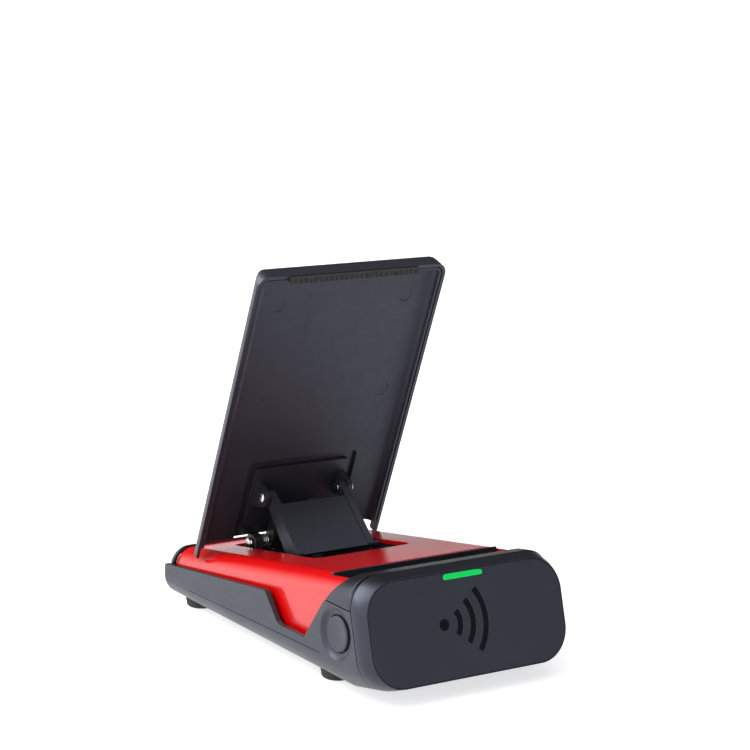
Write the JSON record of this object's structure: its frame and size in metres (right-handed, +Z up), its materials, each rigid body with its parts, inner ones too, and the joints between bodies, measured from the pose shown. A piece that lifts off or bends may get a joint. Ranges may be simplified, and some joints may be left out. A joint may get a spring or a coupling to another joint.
{
  "type": "golf launch monitor",
  "caption": "Wedge-shaped desktop radar golf launch monitor with a slot for a leaning phone, a fold-flat phone stand with a sliding strut, a status light and a side power button.",
  "frame": {"origin": "middle of the footprint, on the floor plane under the feet", "axes": "+X to the right seen from the front face, +Y from the front face towards the rear, +Z up"},
  "size_m": [0.08, 0.132, 0.1279],
  "materials": {
    "black_plastic": "fine satin moulding texture",
    "face_plastic": "fine matt moulding texture",
    "red_plastic": "polished",
    "light_green": "clear, lit from behind",
    "rubber": "matt",
    "steel": "turned",
    "board_green": "solder mask",
    "cell_wrap": "shrink wrap",
    "cable_orange": "flexible polyimide"
  },
  "bodies": {
    "base": {"base_tub": "black_plastic", "front_bridge": "black_plastic", "front_bezel": "black_plastic", "rear_bezel": "black_plastic", "phone_ledge": "black_plastic", "hinge_tray": "black_plastic", "face_plate": "face_plastic", "radar_window": "face_plastic", "top_shell": "red_plastic", "light_pipe": "light_green", "ledge_pad": "rubber", "foot_front_left": "rubber", "foot_front_right": "rubber", "foot_rear_left": "rubber", "foot_rear_right": "rubber", "screw_front_left": "steel", "screw_front_right": "steel", "screw_rear_left": "steel", "screw_rear_right": "steel", "hinge_pin_left": "steel", "hinge_pin_right": "steel", "hinge_spring_left": "steel", "hinge_spring_right": "steel", "usb_port": "steel", "tact_switch": "steel", "processor_shield": "steel", "radar_shield": "steel", "main_board": "board_green", "light_board": "board_green", "radar_board": "board_green", "usb_board": "board_green", "button_board": "board_green", "battery_pack": "cell_wrap", "antenna_cable": "cable_orange"},
    "stand": {"stand_panel": "black_plastic", "stand_liner": "face_plastic", "stand_bracket": "black_plastic", "phone_rest_strip": "rubber", "strut_pin_left": "steel", "strut_pin_right": "steel"},
    "strut": {"strut": "black_plastic"},
    "power_button": {"power_button": "black_plastic"}
  },
  "joints": [
    {"name": "stand_fold", "type": "hinge", "parent": "base", "child": "stand", "pos_m": [0, 0.0481, 0.0241], "axis": [1, 0, 0], "range_deg": [0, 58]},
    {"name": "strut_fold", "type": "hinge", "parent": "stand", "child": "strut", "pos_m": [0, 0.03728, 0.04334], "axis": [1, 0, 0], "range_deg": [-108, 0]},
    {"name": "power_press", "type": "slide", "parent": "base", "child": "power_button", "axis": [1, 0, 0], "range_m": [0, 0.0005], "stiffness_N_per_m": 200}
  ],
  "couplings": [
    {"joint": "strut_fold", "follows": "stand_fold", "ratio": -1.85}
  ]
}
